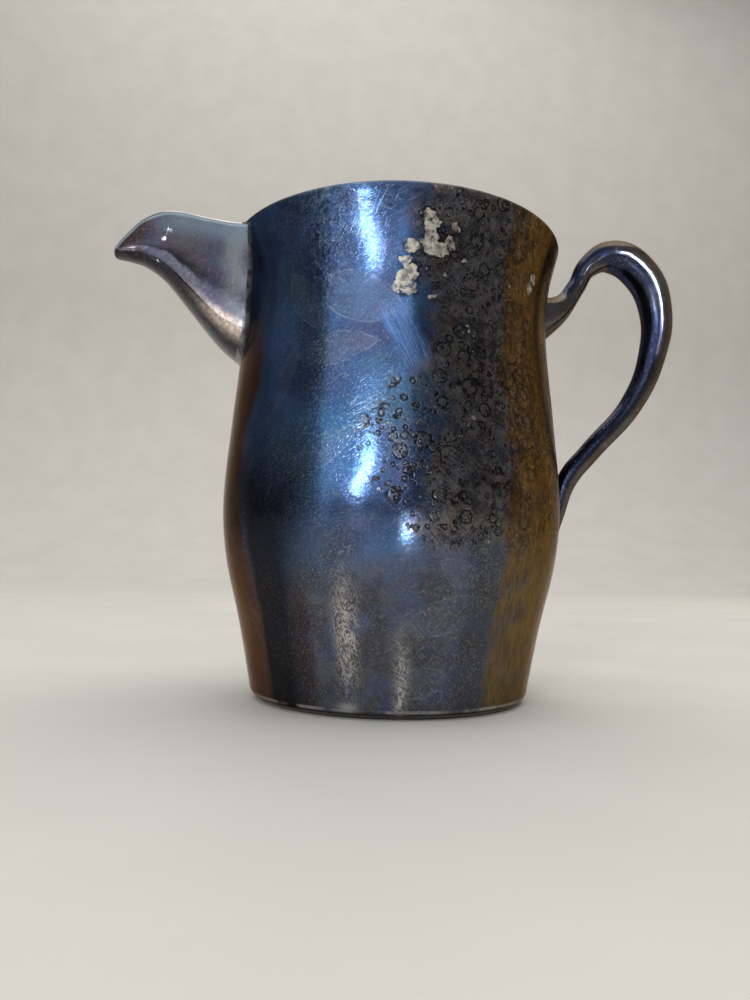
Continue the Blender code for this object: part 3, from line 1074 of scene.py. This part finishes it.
def spout_material():
    tex = Textures("spout_tarnish")
    reach = plus(times(tex.node("SeparateXYZ", {0: tex.mm})["X"], -1), tex.ragged(5, 6))
    depth, rise = (tex.node("Attribute", attribute_name=name)["Fac"] for name in SPOUT_PLACES)
    flank_shade = ramp(plus(rise, tex.ragged(6, 0.16)), 0.72, 0.3)
    keel_shade = ramp(plus(rise, tex.ragged(4, 0.1)), 0.34, 0.12)
    # Painted highlight along the keel near the root
    painted_keel_highlight = times(band(plus(rise, tex.ragged(3, 0.05)), 0.19, 0.13),
                       ramp(reach, 44, 33),
                       plus(0.6, times(tex.patches(0.9, 0.38, 0.58), 0.4)))
    crystals = ramp(tex.noise(0.5, detail=4, roughness=0.7), 0.5, 0.72)
    tone = layered(
        mix(tex.patches(7, 0.36, 0.58, distortion=0.5), SPOUT_BLUE, SPOUT_VIOLET),
        (0.65, band(reach, 43, 7), SPOUT_GREY),
        (0.7, band(reach, 32.5, 4), SPOUT_ROOT_PALE),
        (0.85, ramp(reach, 47.5, 52.5), SPOUT_TIP_BROWN),
        (0.3, tex.patches(4, 0.52, 0.68), SPOUT_MAUVE),
        # Painted sheen below the pouring edge
        (0.7, times(band(depth, 1.6, 3.2), ramp(reach, 50, 43)), SPOUT_EDGE_SHEEN),
        (0.35, flank_shade, FLANK_SHADE),
        (0.8, keel_shade, KEEL_SHADE),
        (0.98, painted_keel_highlight, PAINTED_KEEL_HIGHLIGHT),
        (0.16, crystals, SPOUT_CRYSTAL),
        (0.3, ramp(tex.noise(0.4, detail=3), 0.46, 0.3), NEAR_BLACK),
        (0.22, scratches(tex), WORN_AND_HIGHLIGHT),
        # Painted highlight along the pouring edge
        (0.85, ramp(plus(depth, tex.ragged(3, 0.4)), 1.05, 0.55), PAINTED_LIP_HIGHLIGHT),
    )
    roughness = plus(0.12, times(tex.noise(6, detail=4), 0.14))
    smooth_nose = band(reach, 45, 9)
    roughness = times(roughness, without(times(smooth_nose, 0.55)))
    normal = bumps((tex.noise(8, detail=3), 0.16), (tex.noise(1.3, detail=3), 0.01),
                   (tex.noise(0.45, detail=3), 0.002))
    return tex.finish(tone, roughness, normal)


def edge_material():
    tex = Textures("worn_edge")
    tone = mix(tex.patches(4, 0.35, 0.65), EDGE_DULL, EDGE_BRIGHT)
    return tex.finish(tone, 0.22, bumps((tex.noise(1.2, detail=3), 0.01)))


def solder_material():
    tex = Textures("solder_seam")
    tone = mix(tex.patches(2.2, 0.34, 0.6), SOLDER_DARK, SOLDER_PALE)
    roughness = plus(0.22, times(tex.noise(1.2, detail=4), 0.12))
    return tex.finish(tone, roughness, bumps((tex.noise(2, detail=2), 0.02)))


def handle_material():
    tex = Textures("handle_tarnish")
    # Worn outer side and top, and a painted sheen towards the edges as seen from the camera
    facing = tex.node("LayerWeight", {"Blend": 0.5})["Facing"]
    outward = tex.node("SeparateXYZ", {0: tex.coordinates["Normal"]})
    worn_side_and_edge_sheen = plus(times(facing, 0.8), times(outward["X"], 0.8), times(outward["Z"], 0.3))
    beyond, present = tex.spots(1.9, 0.15, 0.42, 0.5, tex.warped(1.5, 0.6))
    specks = times(ramp(beyond, 0.08, -0.12), present, tex.patches(6, 0.44, 0.56))
    grain = tex.noise(0.45, detail=3, roughness=0.7)
    tone = layered(
        mix(tex.patches(11, 0.38, 0.62), HANDLE_NAVY, HANDLE_BLUE),
        (0.9, ramp(plus(worn_side_and_edge_sheen, tex.ragged(5, 0.16)), -0.1, 0.3),
         mix(tex.patches(8, 0.42, 0.62), HANDLE_WORN_AND_SHEEN, HANDLE_WARM)),
        (0.4, specks, HANDLE_SPECK),
        (0.18, ramp(grain, 0.52, 0.74), WORN_AND_HIGHLIGHT),
        (0.35, ramp(grain, 0.46, 0.28), NEAR_BLACK),
        (0.2, scratches(tex), WORN_AND_HIGHLIGHT),
    )
    roughness = plus(0.17, times(tex.noise(5, detail=4), 0.14))
    normal = bumps((tex.noise(7, detail=3), 0.12), (tex.noise(1.2, detail=3), 0.014))
    return tex.finish(tone, roughness, normal, grazing=HANDLE_GRAZING)


# ---------------------------------------------------------------- assembly

def on_inside(centre, normal):
    """1 for the faces of the body's inner side, 0 elsewhere."""
    radius = math.hypot(centre.x, centre.y)
    inner = centre.z > 0.5 * WALL and radius < body_radius(max(centre.z, FOOT_CORNER)) - 0.9 * WALL
    return 1 if inner and centre.z < BODY_HEIGHT - 0.4 * WALL else 0


def on_spout(centre, normal):
    """0 outside the trough, 1 on the lip's rounded edge, 2 inside."""
    reach = min(max(-centre.x, SPOUT_ROOT), SPOUT_TIP)
    edge = smooth_law(SPOUT_EDGE, reach)
    edge_width = smooth_law(SPOUT_EDGE_HALF_WIDTH, reach)
    if centre.z > edge - 0.55 * WALL and abs(centre.y) > edge_width - 1.3 * WALL and normal.z > 0.25:
        return 1
    inward = -normal.y if centre.y > 0 else normal.y
    return 2 if normal.z > 0.1 or inward > 0.45 else 0


def add_area_light(name, degrees, distance, height, size, radiance, colour,
                   tilt=0, target=(0, 0, BODY_HEIGHT / 2), spread=180):
    """Soft box at degrees from the front (-Y) towards the handle (+X), aimed at the target."""
    angle = math.radians(degrees)
    light = bpy.data.lights.new(name, "AREA")
    light.shape = "RECTANGLE"
    light.size, light.size_y = size
    light.energy = radiance * math.pi * size[0] * size[1]
    light.color = colour
    light.spread = math.radians(spread)
    lamp = add_object(name, light)
    lamp.location = (distance * math.sin(angle), -distance * math.cos(angle), height)
    aim = (Vector(target) - lamp.location).to_track_quat("-Z", "Y").to_matrix().to_4x4()
    lamp.rotation_euler = (aim @ Matrix.Rotation(math.radians(tilt), 4, "Z")).to_euler()


def make_stage():
    """Pale floor that sweeps up into a backdrop."""
    radius, wall_at, top, half_width, near_end, bend_steps = 0.6, 1.5, 2.2, 9, -9, 16
    profile = [(near_end, 0)]
    for step in range(bend_steps + 1):
        angle = math.pi / 2 * step / bend_steps
        profile.append((wall_at - radius + radius * math.sin(angle), radius - radius * math.cos(angle)))
    profile.append((wall_at, top))
    builder = bmesh.new()
    rows = [[builder.verts.new((x, y, z)) for x in (-half_width, half_width)] for y, z in profile]
    for row, following in zip(rows, rows[1:]):
        builder.faces.new((row[0], row[1], following[1], following[0]))
    mesh = bpy.data.meshes.new("sweep")
    builder.to_mesh(mesh)
    builder.free()
    mesh.shade_smooth()
    sweep = add_object("sweep", mesh)
    tex = Textures("pale_sweep")
    tone = mix(tex.patches(60, 0.3, 0.7), FLOOR_DULL, FLOOR_PALE)
    mesh.materials.append(tex.finish(tone, 0.7, None, metallic=0))


def make_lights():
    world = bpy.data.worlds.new("studio")
    bpy.context.scene.world = world
    world.use_nodes = True
    background = world.node_tree.nodes["Background"]
    background.inputs["Color"].default_value = (0.62, 0.63, 0.66, 1)
    background.inputs["Strength"].default_value = 0.38
    crest = (HANDLE_POINTS[5][0], 0, HANDLE_POINTS[5][1])
    nose = (-SPOUT_KEEL[4][0], 0, SPOUT_KEEL[5][1])
    glint, warm_white, speck = 4, (1, 0.94, 0.84), (0.006, 0.006)
    # Name, degrees, distance, height, size, radiance, colour
    add_area_light("key", -26, 0.6, 0.152, (0.055, 0.18), 30, (0.88, 0.97, 1), tilt=-36)
    add_area_light("window", -27, 0.9, 0.36, (1, 0.62), 1.25, (0.93, 0.96, 1))
    add_area_light("low_glint", 1, 0.21, 0.006, (0.014, 0.009), 70, (1, 0.93, 0.8))
    add_area_light("crest_glint", 25, 0.31, 0.166, (0.016, 0.024), 1.6, (1, 0.95, 0.88),
                   target=crest, spread=glint)
    add_area_light("nose_glint", -60, 0.285, 0.029, speck, 0.1, warm_white, target=nose, spread=glint)
    add_area_light("low_nose_glint", -66, 0.285, 0.01, speck, 0.08, warm_white, target=nose, spread=glint)
    add_area_light("right_panel", 104, 0.8, 0.35, (0.8, 0.8), 0.42, (1, 0.9, 0.76))
    add_area_light("overhead", 160, 0.35, 1.9, (2.2, 2.2), 1.9, (1, 0.98, 0.95))


def make_camera():
    """Camera in front, turned a little towards the spout, low and looking slightly up."""
    data = bpy.data.cameras.new("camera")
    data.sensor_width = 36.0
    data.lens = 27.04
    data.clip_start = 0.005
    camera = add_object("camera", data)
    turn, heading, pitch, roll = (math.radians(angle) for angle in (9, -7.79, 95.53, 1.17))
    distance, height = 0.1534, 0.0244
    place = Vector((-distance * math.sin(turn), -distance * math.cos(turn), height))
    heading = Matrix.Rotation(heading, 4, "Z")
    pitch = Matrix.Rotation(pitch, 4, "X")
    roll = Matrix.Rotation(roll, 4, "Z")
    camera.matrix_world = Matrix.Translation(place) @ heading @ pitch @ roll
    bpy.context.scene.camera = camera


def main():
    outside, inside, edge, solder = body_material(), inside_material(), edge_material(), solder_material()
    spout_outside, handle_tone, base_tone = spout_material(), handle_material(), base_material()

    body = make_body()
    shade(body, [outside, inside], on_inside)
    spout = make_spout()
    shade(spout, [spout_outside, edge, inside], on_spout)
    fillet = make_solder_fillet()
    shade(fillet, [solder])
    handle = make_handle()
    shade(handle, [handle_tone])

    for piece, node, slot in ((body, "body", "body_silver"), (spout, "spout", "spout_silver"),
                              (handle, "handle", "handle_silver")):
        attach(piece, "root")
        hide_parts(node)
    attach(fillet, "root")
    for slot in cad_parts["base_disc"].material_slots:
        slot.material = base_tone

    make_stage()
    make_lights()
    make_camera()
    bpy.context.scene.view_settings.view_transform = "Standard"


main()
